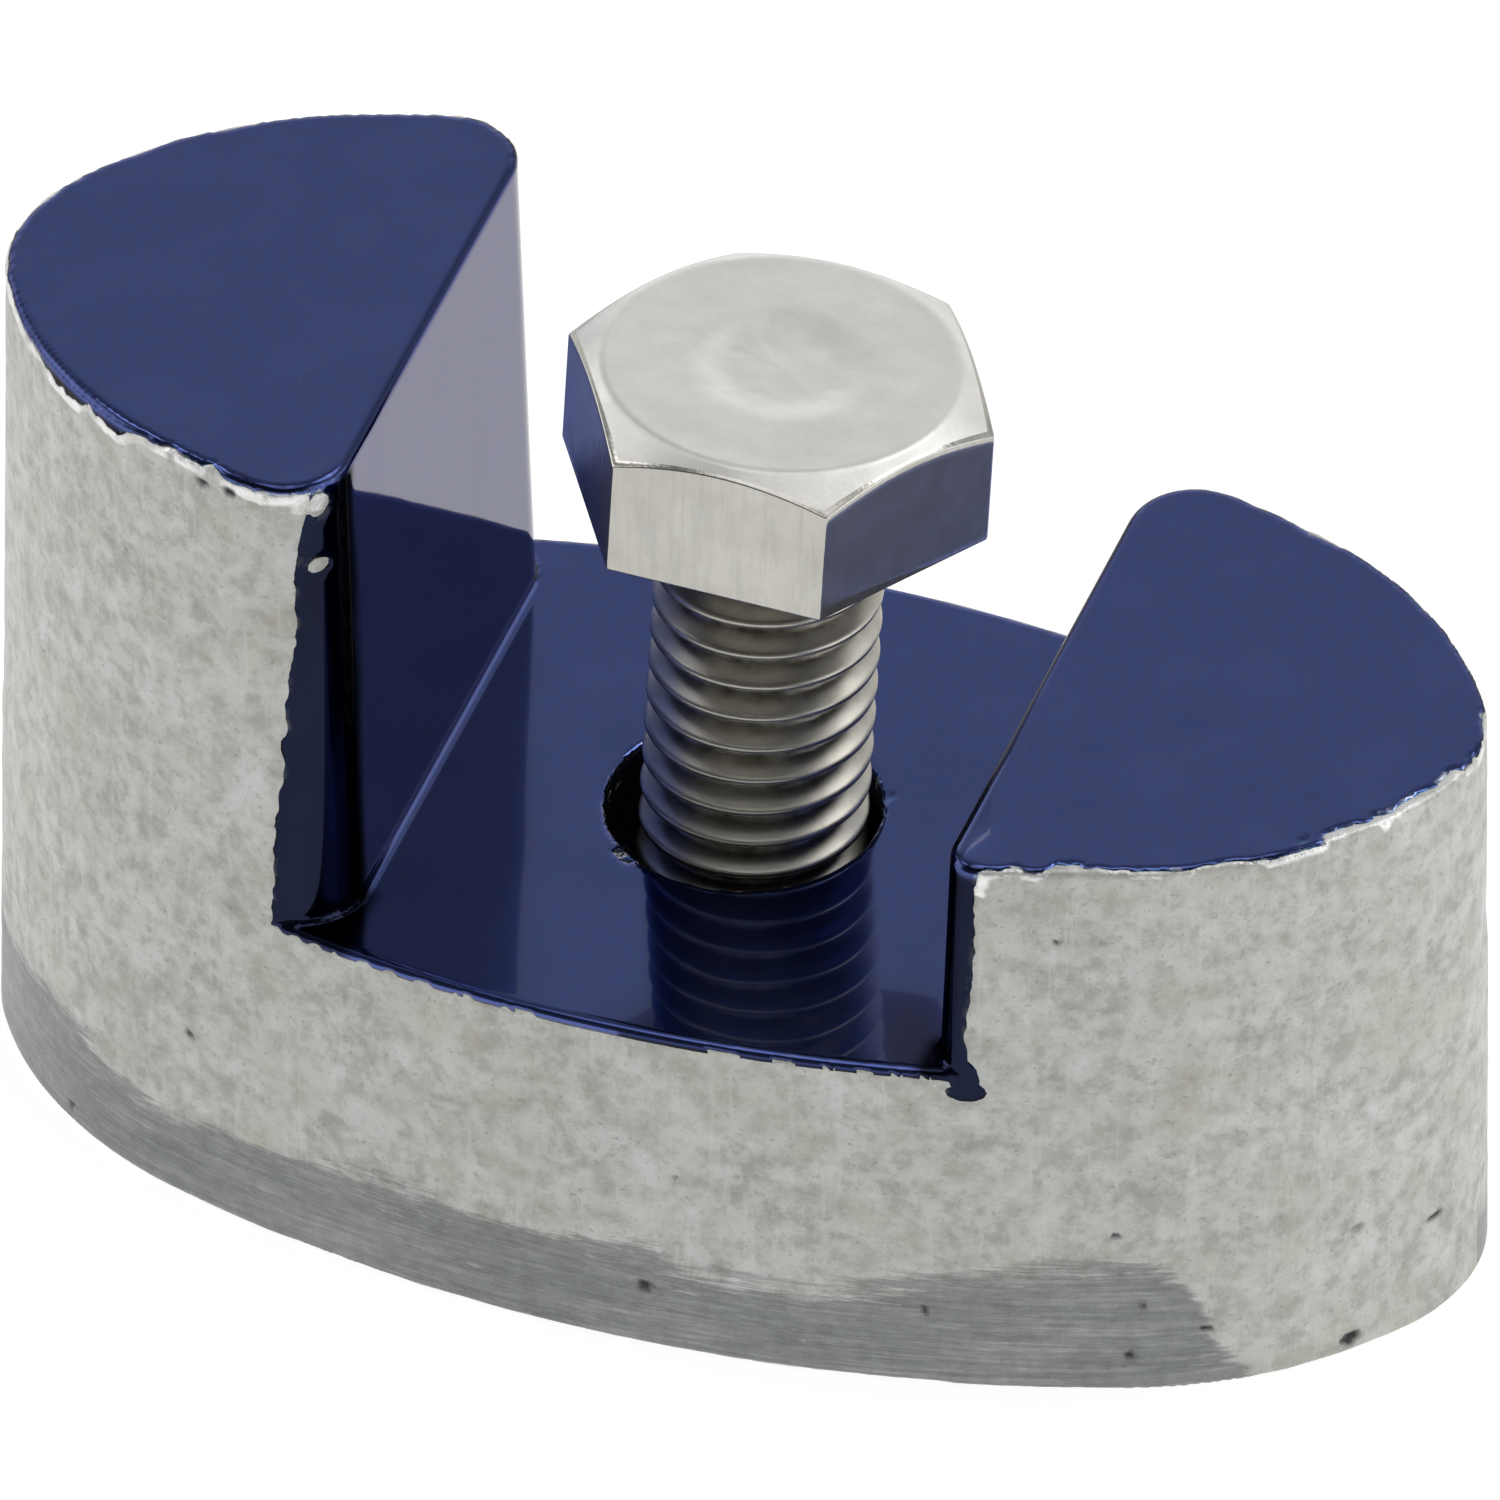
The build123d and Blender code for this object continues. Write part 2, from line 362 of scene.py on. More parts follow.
def clip(V, F, value):
    """The part of a quad mesh where value is above zero, cut along zero, as vertices and triangles."""
    tri = np.vstack([F[:, [0, 1, 2]], F[:, [0, 2, 3]]])
    keep = value > 0
    n_in = keep[tri].sum(1)
    cut = {}
    extra = []

    def crossing(a, b):
        key = (a, b) if a < b else (b, a)
        if key not in cut:
            t = value[a] / (value[a] - value[b])
            cut[key] = len(V) + len(extra)
            extra.append((a, b, min(max(t, 0.02), 0.98)))
        return cut[key]

    new = []
    for t in tri[(n_in == 1) | (n_in == 2)]:
        t = [int(v) for v in t]
        poly = []
        for k in range(3):
            a, b = t[k], t[(k + 1) % 3]
            if keep[a]:
                poly.append(a)
            if keep[a] != keep[b]:
                poly.append(crossing(a, b))
        for k in range(1, len(poly) - 1):
            new.append((poly[0], poly[k], poly[k + 1]))
    T = np.vstack([tri[n_in == 3], np.array(new, int).reshape(-1, 3)])
    A, B, W = (np.array(column) for column in zip(*extra))
    V = np.vstack([V, V[A] * (1 - W)[:, None] + V[B] * W[:, None]])
    return used_only(V, T)


def used_only(V, T):
    """Drops the vertices that no triangle uses."""
    used = np.unique(T)
    remap = -np.ones(len(V), int)
    remap[used] = np.arange(len(used))
    return V[used], remap[T]


def in_large_patch(T, n, least):
    """True for each triangle in a connected patch of at least `least` triangles."""
    label = np.arange(n)
    while True:
        low = label[T].min(1)
        new = label.copy()
        for k in range(3):
            np.minimum.at(new, T[:, k], low)
        new = new[new]
        if (new == label).all():
            break
        label = new
    count = np.bincount(label[T[:, 0]], minlength=n)
    return count[label[T[:, 0]]] >= least


def pit_depth(V):
    """0 to 1 in the pits: a few groups on the back, and the ones in PITS on the front."""
    pits = smooth(0.60, 0.80, fbm(V, 0.6, 2, 97)) * smooth(0.25, 0.6, fbm(V, 4.5, 2, 101)) * (V[:, 1] > 0)
    ragged = 0.10 * fbm(V, 0.3, 2, 109)
    for x, z, size in PITS:
        away = np.hypot(V[:, 0] - x, (V[:, 2] - z) * 1.25) + ragged
        pits = np.maximum(pits, smooth(size + 0.09, size - 0.03, away) * (V[:, 1] < 0))
    return pits


def chipped_rim_glint(V, blue):
    """0 to 1 in the knocked metal beside the paint's edge, on the tops' rims and the floor's edges; the
    shader paints it near white, worn bare metal and partly a painted highlight.
    """
    by_top = V[:, 2] > prong_top(V[:, 0]) - 0.9
    by_floor = (np.abs(V[:, 2] - FLOOR) < 0.5) & (np.abs(V[:, 0]) < wall_at(V[:, 2]) + 0.2)
    rim_band = np.exp(-((blue + 0.10 + 0.06 * by_top) / (0.10 + 0.08 * by_top)) ** 2)
    near_hole = np.hypot(V[:, 0], V[:, 1]) < 5
    return rim_band * (by_top | by_floor) * (1 - 0.8 * near_hole)


def make_casting(V, F, N, blue):
    """Bare metal: a closed mesh one paint film below the whole surface, with its own grain and pits."""
    bare = smooth(0.05, -0.15, blue)
    ground = smooth(-0.85, 0.75, linish(V)) * (np.abs(N[:, 2]) < 0.7)
    grain = 0.030 * fbm(V, 1.6, 4, 83) + 0.012 * fbm(V, (0.5, 0.5, 1.0), 2, 89)
    facet = 0.020 * fbm(V, (4.0, 4.0, 0.7), 2, 103)
    pits = pit_depth(V)
    chips_and_glint = chipped_rim_glint(V, blue)
    relief = grain * (1 - ground) + facet * ground - 0.07 * pits
    level = -FILM + bare * np.minimum(relief, FILM - 0.012) + 0.03 * chips_and_glint * bare - 0.01 * (1 - bare)
    # The bolt hole's upper wall is coloured near black: paint carried into the hole, darkened as painted
    # shade of the deep hole.
    in_hole = smooth(4.1, 3.7, np.hypot(V[:, 0], V[:, 1]))
    return make_mesh("casting", V + N * level[:, None], F, {
        "ground": ground, "pits": pits, "edge": chips_and_glint,
        "hole_paint_and_shade": in_hole * smooth(4.5, 7.5, V[:, 2] + fbm(V, 2.0, 3, 107)),
    })


def painted_corner_shade(P, side, past):
    """0 to 1 where the coat is painted nearly black as shade round the prongs' front corners and over the
    drip.
    """
    x, y, z = P[:, 0], P[:, 1], P[:, 2]
    reach_in = np.where(x < 0, 2.5, 1.5)
    run = smooth(-reach_in - 0.25, -reach_in + 0.25, side + 0.25 * fbm(P, (0.8, 0.8, 4.0), 2, 137))
    run *= (y < 0) * smooth(-0.6, -0.1, past)
    run *= smooth(0.15, 0.45, prong_top(x) - z)
    run *= np.where(x > 0, 1.0, smooth(-0.9, 0.1, z - FLOOR))
    drip = (x > 0) * (y < 0) * smooth(0.0, -0.25, z - FLOOR) * smooth(-0.4, -0.1, side)
    return np.maximum(run, drip)


def make_coat(V, F, blue):
    """The coat: cut along its ragged edge, a film thick in the middle, feathered at the edge and closed."""
    P, T = clip(V, F, blue)
    P, T = used_only(P, T[in_large_patch(T, len(P), 30)])
    P = project(P, solid, rounds=2)
    N = unit_normals(P)
    inside = paint(P)
    directed = np.vstack([T[:, [0, 1]], T[:, [1, 2]], T[:, [2, 0]]])
    sides, times = np.unique(np.sort(directed, axis=1), axis=0, return_counts=True)
    rim_sides = {tuple(k) for k in sides[times == 1]}
    on_rim = np.zeros(len(P), bool)
    on_rim[sides[times == 1].ravel()] = True

    low = P[:, 2] < FLOOR + 0.3
    thick = np.where(on_rim, 0.0, smooth(0.0, 0.16, inside))
    wave = 0.004 * vnoise(P, 2.5, 127)
    bead = 0.018 * np.exp(-((inside - 0.28) / 0.16) ** 2) * low * (np.hypot(P[:, 0], P[:, 1]) > 5)
    level = -FILM - 0.004 + thick * (FILM - 0.012 + wave + bead)
    level = np.minimum(level, np.where(low, 0.05, -0.002))
    outer = P + N * level[:, None]
    inner = P - N * (FILM + 0.03)

    past = np.abs(P[:, 0]) - wall_at(P[:, 2])
    side = outline(P[:, 0], P[:, 1]) + P[:, 2] * DRAFT
    # Painted shade on the rounded edges and the notch corner: the coat is darkened and dulled there.
    painted_edge_shade = smooth(0.15, 0.40, N[:, 2]) * smooth(0.985, 0.90, N[:, 2])
    painted_edge_shade *= 1 - 0.85 * (P[:, 2] < FLOOR + 0.05) * (side > -0.6) * (past < -0.3)
    # Painted shade round the prongs' front corners and over the drip.
    painted_shade = painted_corner_shade(P, side, past)

    n = len(P)
    faces = [tuple(t) for t in T] + [(t[0] + n, t[2] + n, t[1] + n) for t in T]
    faces += [(b, a, a + n, b + n) for a, b in directed if (min(a, b), max(a, b)) in rim_sides]
    return make_mesh("paint_coat", np.vstack([outer, inner]), faces, {
        "inside": np.tile(inside, 2), "painted_shade": np.tile(painted_shade, 2), "painted_edge_shade": np.tile(painted_edge_shade, 2),
    })


CELL = 0.145
block_V, block_F = surface_net(solid, [-HALF_L - 0.5, -HALF_D - 0.5, -0.5],
                               [HALF_L + 0.5, HALF_D + 0.5, TALL + 0.5], CELL)
block_V = project(block_V, solid, rounds=4)
block_V = relax(block_V, block_F, solid, 3)
block_V = project(block_V, solid, rounds=3)
blue = paint(block_V)
casting = make_casting(block_V, block_F, unit_normals(block_V), blue)
coat = make_coat(block_V, block_F, blue)


# ---------------------------------------------------------------- screw
PITCH, CREST, LENGTH, HEAD, FLATS = 1.0, 2.975, 20.0, 4.0, 10.0
DEPTH = 0.6134 * PITCH                           # ISO thread depth
TOP_CIRCLE = 4.62                                # radius of the head's flat top


def ring_mesh(rows):
    """Joins a list of (m, 3) rings with quads and closes both ends. The two end points come last."""
    m = len(rows[0])
    V = np.vstack(rows)
    F = []
    for r in range(len(rows) - 1):
        a = r * m
        for k in range(m):
            k2 = (k + 1) % m
            F.append((a + k, a + k2, a + m + k2, a + m + k))
    V = np.vstack([V, rows[0].mean(0), rows[-1].mean(0)])
    low, high = len(V) - 2, len(V) - 1
    a = (len(rows) - 1) * m
    for k in range(m):
        k2 = (k + 1) % m
        F.append((low, k2, k))
        F.append((high, a + k, a + k2))
    return V, F


def thread_radius(phase):
    """ISO profile with a rounded root and a slightly rolled crest."""
    t = np.abs((phase % 1.0) - 0.5) * 2                     # 0 at the crest, 1 at the root
    flank = (t - 0.125) / (0.833 - 0.125)
    r = CREST - DEPTH * np.clip(flank, 0, 1)
    soft = 0.045
    r = np.where(flank < 0.1, CREST - soft * np.clip(t / 0.2, 0, 1) ** 2, r)
    r = np.where(flank > 0.88, CREST - DEPTH + 0.05 * np.clip((1 - t) / 0.16, 0, 1) ** 2, r)
    return r


def shank():
    """The threaded shank, with a lead-in at the tip and a run-out under the head."""
    m = 128
    per = 26
    th = np.linspace(0, 2 * math.pi, m, endpoint=False)
    z = np.linspace(0, LENGTH, int(LENGTH * per) + 1)
    rows = []
    for zz in z:
        r = thread_radius(zz / PITCH - th / (2 * math.pi) + 0.5)
        tip = CREST - DEPTH - 0.03 + zz
        r = np.minimum(r, tip)
        rise = smooth(LENGTH - 0.9, LENGTH - 0.1, zz)
        r = r * (1 - rise) + (CREST - DEPTH * 0.45) * rise
        rows.append(np.column_stack([r * np.cos(th), r * np.sin(th), np.full(m, zz)]))
    return ring_mesh(rows)


def hexagon(th, apothem, r_edge):
    """Distance to a hexagon's outline with slightly blunted corners, in direction th."""
    phi = (th % (math.pi / 3)) - math.pi / 6                # zero at the middle of a flat
    straight = apothem / np.cos(phi)
    corner = apothem / math.cos(math.pi / 6) - r_edge * (1 / math.cos(math.pi / 6) - 1)
    return np.minimum(straight, corner)


def head():
    """The hexagon head, with a 30 degree bevel and a dished top.

    The array returned last is 0 on the sides and underneath, 0.5 on the bevel and 1 on the top.
    """
    per = 44
    # Directions bunched at the corners, so that they stay crisp.
    u = np.linspace(0, 1, per, endpoint=False)
    s = u - 0.75 * np.sin(2 * math.pi * u) / (2 * math.pi)
    th = np.concatenate([(k + s) * math.pi / 3 for k in range(6)])
    m = len(th)
    R = hexagon(th, FLATS / 2 - 0.01, 0.10)
    z0, z1 = LENGTH, LENGTH + HEAD
    bevel = z1 - np.maximum(R - TOP_CIRCLE, 0.0) * math.tan(math.radians(30))
    bevel = np.minimum(bevel, z1 - 0.02)
    rows, face = [], []

    def ring(r, z, kind=0.0):
        rows.append(np.column_stack([r * np.cos(th), r * np.sin(th), np.broadcast_to(z, (m,))]))
        face.append(np.full(m, kind))

    for r in (CREST - DEPTH * 0.6, 3.3, 3.8, 4.3):
        ring(np.full(m, r), z0)
    ring(R * 0.93, z0)
    e = 0.10
    for k in range(5):
        a = k / 4 * math.pi / 2
        ring(R - e * (1 - math.sin(a)), z0 + e * (1 - math.cos(a)))
    for k in range(1, 12):
        t = k / 12
        ring(R, (z0 + e) * (1 - t) + (bevel - 0.06) * t)
    for k in range(4):
        t = k / 3
        ring(R - 0.075 * t ** 1.5, bevel - 0.06 + 0.085 * t - 0.03 * t * t)
    inner = np.full(m, TOP_CIRCLE)
    start_r = R - 0.075
    start_z = bevel - 0.005
    for k in range(1, 8):
        t = k / 7
        r = start_r * (1 - t) + (inner + 0.09) * t
        z = start_z * (1 - t) + (z1 - 0.058) * t
        ring(r, z, 0.5)
    ring(inner + 0.03, z1 - 0.030, 0.6)
    ring(inner - 0.03, z1 - 0.013, 0.8)
    ring(inner - 0.10, z1 - 0.004, 1.0)
    ring(inner - 0.18, z1, 1.0)
    for r in (4.2, 3.9, 3.6, 3.3, 3.0):
        ring(np.full(m, r), z1, 1.0)
    for r in np.arange(2.8, 0.1, -0.15):
        ring(np.full(m, r), z1 - 0.17 * smooth(2.55, 1.25, r), 1.0)
    V, F = ring_mesh(rows)
    return V, F, np.concatenate(face + [[0.0, 1.0]])


def make_screw():
    """Shank and head in the screw's own axes, then turned and moved to its place in the frame."""
    shank_V, shank_F = shank()
    head_V, head_F, face = head()
    # The top is faintly uneven, more so in the forging dish.
    r = np.hypot(head_V[:, 0], head_V[:, 1])
    on_top = smooth(LENGTH + HEAD - 0.3, LENGTH + HEAD - 0.1, head_V[:, 2])
    uneven = 0.018 + 0.018 * fbm(head_V, (0.9, 0.9, 0.9), 3, 149)
    head_V[:, 2] -= on_top * uneven * smooth(4.6, 4.3, r)
    head_V[:, 2] -= 0.03 * on_top * smooth(2.2, 1.4, r) * fbm(head_V, 0.6, 2, 151)
    local = np.vstack([shank_V, head_V])
    F = list(shank_F) + [tuple(i + len(shank_V) for i in f) for f in head_F]
    x_axis = Vector((screw_axis.z, 0, -screw_axis.x)).normalized()
    turn = np.array([list(x_axis), list(screw_axis.cross(x_axis)), list(screw_axis)])
    return make_mesh("hex_screw", local @ turn + np.array(screw_foot) / MM, F, {
        "up": local[:, 2], "rad": np.hypot(local[:, 0], local[:, 1]),
        "face": np.concatenate([np.zeros(len(shank_V)), face]),
    })


screw = make_screw()


# ---------------------------------------------------------------- materials
class Nodes:
    """A material's node tree, with short helpers that add and link nodes."""

    def __init__(self, name):
        self.mat = bpy.data.materials.new(name)
        self.mat.use_nodes = True
        self.t = self.mat.node_tree
        self.t.nodes.clear()
        self.out = self.t.nodes.new("ShaderNodeOutputMaterial")
        self.bsdf = self.t.nodes.new("ShaderNodeBsdfPrincipled")
        self.t.links.new(self.bsdf.outputs[0], self.out.inputs[0])
        self.coord = self.t.nodes.new("ShaderNodeTexCoord")

    def put(self, socket, value):
        """Sets a socket to a number or colour, or links it to another node's output."""
        if isinstance(value, (int, float)):
            socket.default_value = value
        elif isinstance(value, tuple):
            socket.default_value = value if len(value) != 3 or socket.type == "VECTOR" else (*value, 1.0)
        else:
            self.t.links.new(value, socket)

    def attr(self, name):
        n = self.t.nodes.new("ShaderNodeAttribute")
        n.attribute_name = name
        return n.outputs["Fac"]

    def math(self, op, a, b=0.0, c=0.0, clamp=False):
        n = self.t.nodes.new("ShaderNodeMath")
        n.operation = op
        n.use_clamp = clamp
        for s, v in zip(n.inputs, (a, b, c)):
            self.put(s, v)
        return n.outputs[0]

    def scaled(self, scale):
        n = self.t.nodes.new("ShaderNodeMapping")
        self.t.links.new(self.coord.outputs["Object"], n.inputs["Vector"])
        n.inputs["Scale"].default_value = scale
        return n.outputs[0]

    def noise(self, scale, detail=4.0, rough=0.55, distort=0.0):
        """Noise in object space; scale is blobs per metre, one number or three."""
        n = self.t.nodes.new("ShaderNodeTexNoise")
        v = self.scaled(scale if isinstance(scale, tuple) else (scale,) * 3)
        self.t.links.new(v, n.inputs["Vector"])
        n.inputs["Scale"].default_value = 1.0
        n.inputs["Detail"].default_value = detail
        n.inputs["Roughness"].default_value = rough
        n.inputs["Distortion"].default_value = distort
        return n.outputs["Fac"]

    def cells(self, scale):
        """Distance to the nearest of scattered points, about scale of them per metre."""
        n = self.t.nodes.new("ShaderNodeTexVoronoi")
        self.t.links.new(self.scaled((scale,) * 3), n.inputs["Vector"])
        n.inputs["Scale"].default_value = 1.0
        n.inputs["Randomness"].default_value = 1.0
        return n.outputs["Distance"]

    def ramp(self, fac, *stops):
        n = self.t.nodes.new("ShaderNodeValToRGB")
        self.put(n.inputs[0], fac)
        el = n.color_ramp.elements
        while len(el) < len(stops):
            el.new(0.5)
        for e, (pos, col) in zip(el, stops):
            e.position = pos
            e.color = (*col, 1.0) if isinstance(col, tuple) else (col, col, col, 1.0)
        return n.outputs[0]

    def mix(self, fac, a, b):
        n = self.t.nodes.new("ShaderNodeMix")
        n.data_type = "RGBA"
        self.put(n.inputs[0], fac)
        self.put(n.inputs[6], a)
        self.put(n.inputs[7], b)
        return n.outputs[2]

    def bump(self, height, distance, strength=1.0, normal=None):
        n = self.t.nodes.new("ShaderNodeBump")
        self.put(n.inputs["Height"], height)
        n.inputs["Distance"].default_value = distance
        n.inputs["Strength"].default_value = strength
        if normal is not None:
            self.t.links.new(normal, n.inputs["Normal"])
        return n.outputs[0]

    def set(self, **kw):
        names = {"color": "Base Color", "metallic": "Metallic", "rough": "Roughness", "ior": "IOR",
                 "coat": "Coat Weight", "coat_rough": "Coat Roughness", "coat_ior": "Coat IOR",
                 "normal": "Normal", "coat_normal": "Coat Normal", "spec": "Specular IOR Level"}
        for k, v in kw.items():
            self.put(self.bsdf.inputs[names[k]], v)


def cast_material():
    """Blasted casting metal, linished round the foot, pitted, and near white where the paint is knocked off:
    worn bare metal, partly a painted highlight.
    """
    m = Nodes("cast_metal_blasted")
    ground, pits, edge = m.attr("ground"), m.attr("pits"), m.attr("edge")
    cloud = m.noise(240.0, 4.0, 0.6)
    warm = m.noise(460.0, 3.0, 0.6)
    frost = m.noise(1900.0, 7.0, 0.66)
    crystal = m.noise(1150.0, 5.0, 0.62)
    fine = m.noise(5200.0, 2.0, 0.6)
    streak = m.noise((2300.0, 2300.0, 260.0), 4.0, 0.65, 0.3)
    base = m.ramp(cloud, (0.30, (0.42, 0.425, 0.40)), (0.50, (0.48, 0.485, 0.465)),
                  (0.72, (0.55, 0.555, 0.545)))
    col = m.mix(m.ramp(frost, (0.42, 0.0), (0.66, 0.70)), base, (0.61, 0.62, 0.60))
    col = m.mix(m.ramp(frost, (0.34, 0.50), (0.52, 0.0)), col, (0.29, 0.29, 0.26))
    col = m.mix(m.ramp(crystal, (0.50, 0.0), (0.66, 0.55)), col, (0.64, 0.65, 0.635))
    col = m.mix(m.ramp(crystal, (0.34, 0.40), (0.48, 0.0)), col, (0.32, 0.315, 0.28))
    col = m.mix(m.ramp(warm, (0.45, 0.0), (0.68, 0.40)), col, (0.46, 0.435, 0.36))
    col = m.mix(m.ramp(streak, (0.56, 0.0), (0.68, 0.35)), col, (0.64, 0.645, 0.63))
    col = m.mix(m.ramp(fine, (0.27, 0.40), (0.38, 0.0)), col, (0.20, 0.20, 0.185))
    # Ground band: darker and bluer, with fine level scratches and a streaky upper edge.
    scratch = m.noise((330.0, 330.0, 8200.0), 6.0, 0.8, 0.5)
    broad = m.noise((170.0, 170.0, 1500.0), 5.0, 0.75, 0.3)
    gcol = m.ramp(scratch, (0.33, (0.11, 0.12, 0.125)), (0.50, (0.225, 0.24, 0.24)),
                  (0.66, (0.46, 0.47, 0.47)))
    gcol = m.mix(0.45, gcol, m.ramp(broad, (0.35, (0.13, 0.14, 0.15)), (0.65, (0.36, 0.365, 0.36))))
    gcol = m.mix(m.ramp(frost, (0.40, 0.30), (0.62, 0.0)), gcol, (0.12, 0.125, 0.13))
    g = m.math("ADD", ground, m.math("MULTIPLY", m.math("SUBTRACT", broad, 0.5), 3.0))
    g = m.math("ADD", g, m.math("MULTIPLY", m.math("SUBTRACT", scratch, 0.5), 1.6), clamp=True)
    in_band = m.ramp(ground, (0.02, 0.0), (0.25, 1.0))
    g = m.math("MULTIPLY", m.ramp(g, (0.30, 0.0), (0.70, 1.0)), in_band)
    col = m.mix(m.math("MULTIPLY", g, 0.92), col, gcol)
    col = m.mix(pits, col, (0.035, 0.035, 0.04))
    # Knocked metal just outside the paint's edge, near white: worn bare metal, and partly a painted
    # highlight.
    chip_glint = m.math("MULTIPLY", m.ramp(edge, (0.30, 0.0), (0.75, 1.0)),
                    m.ramp(m.noise(900.0), (0.40, 0.25), (0.55, 1.0)))
    col = m.mix(m.math("MULTIPLY", chip_glint, 0.85), col, (0.93, 0.93, 0.92))
    # Bolt hole's upper wall: near-black navy, paint carried into the hole and darkened as painted shade.
    col = m.mix(m.attr("hole_paint_and_shade"), col, (0.012, 0.016, 0.035))
    rough = m.math("ADD", 0.42, m.math("MULTIPLY", frost, 0.26))
    rough = m.mix(g, rough, m.ramp(scratch, (0.3, 0.30), (0.7, 0.46)))
    rough = m.mix(chip_glint, rough, (0.25, 0.25, 0.25))
    n1 = m.bump(frost, 0.00009, 0.85)
    n2 = m.bump(m.noise(3000.0, 4.0, 0.7), 0.00005, 0.6, n1)
    n3 = m.bump(m.math("MULTIPLY", scratch, g), 0.00003, 0.8, n2)
    m.set(color=col, metallic=0.72, rough=rough, normal=n3)
    return m.mat


def paint_material():
    """Dark blue gloss lacquer, painted nearly black as shade round the front corners and on rounded edges,
    and pale where its edge is knocked off, partly as a painted highlight.
    """
    m = Nodes("navy_lacquer")
    cloud = m.noise(420.0, 3.0, 0.5)
    speck = m.noise(3600.0, 3.0, 0.7)
    col = m.ramp(cloud, (0.30, (0.030, 0.064, 0.270)), (0.70, (0.040, 0.076, 0.300)))
    col = m.mix(m.math("MULTIPLY", m.ramp(speck, (0.48, 0.0), (0.68, 1.0)), 0.55), col, (0.075, 0.066, 0.235))
    thin = m.ramp(m.attr("inside"), (0.0, 1.0), (0.10, 0.0))
    col = m.mix(m.math("MULTIPLY", thin, 0.45), col, (0.03, 0.20, 0.36))
    # Knocked-off edge of the coat: pale bare metal, worn, and partly a painted highlight.
    chip_and_glint = m.math("MULTIPLY", m.ramp(m.attr("inside"), (0.03, 1.0), (0.15, 0.0)),
                  m.ramp(m.noise(1500.0, 3.0, 0.6), (0.53, 0.0), (0.60, 1.0)))
    col = m.mix(m.math("MULTIPLY", chip_and_glint, 0.85), col, (0.80, 0.83, 0.88))
    dust = m.ramp(m.cells(1900.0), (0.045, 1.0), (0.075, 0.0))
    dust = m.math("MULTIPLY", dust, m.ramp(m.noise(260.0), (0.55, 0.0), (0.70, 1.0)))
    col = m.mix(m.math("MULTIPLY", dust, 0.4), col, (0.30, 0.31, 0.36))
    # Painted shade: nearly black, with less clear coat, round the front corners, on rounded edges and in the
    # notch corner.
    streaks = m.ramp(m.noise((500.0, 500.0, 160.0), 3.0), (0.30, 1.0), (0.75, 0.94))
    painted_shade = m.math("MULTIPLY", m.attr("painted_shade"), streaks)
    painted_shade = m.math("MAXIMUM", painted_shade, m.math("MULTIPLY", m.attr("painted_edge_shade"), 0.74))
    col = m.mix(painted_shade, col, (0.005, 0.007, 0.020))
    peel = m.bump(m.noise(420.0, 1.0, 0.4), 0.00005, 0.05)
    clear = m.math("SUBTRACT", 1.0, m.math("MULTIPLY", painted_shade, 0.88))
    # Less metallic where the edge is knocked off, so the pale metal shows as a painted highlight.
    matt = m.math("SUBTRACT", 0.97, m.math("MULTIPLY", chip_and_glint, 0.85))
    m.set(color=col, metallic=matt, rough=0.12, normal=peel, coat=clear, coat_rough=0.03, coat_ior=1.5,
          coat_normal=peel, ior=1.5)
    m.bsdf.inputs["Specular Tint"].default_value = (0.14, 0.16, 0.20, 1.0)
    return m.mat


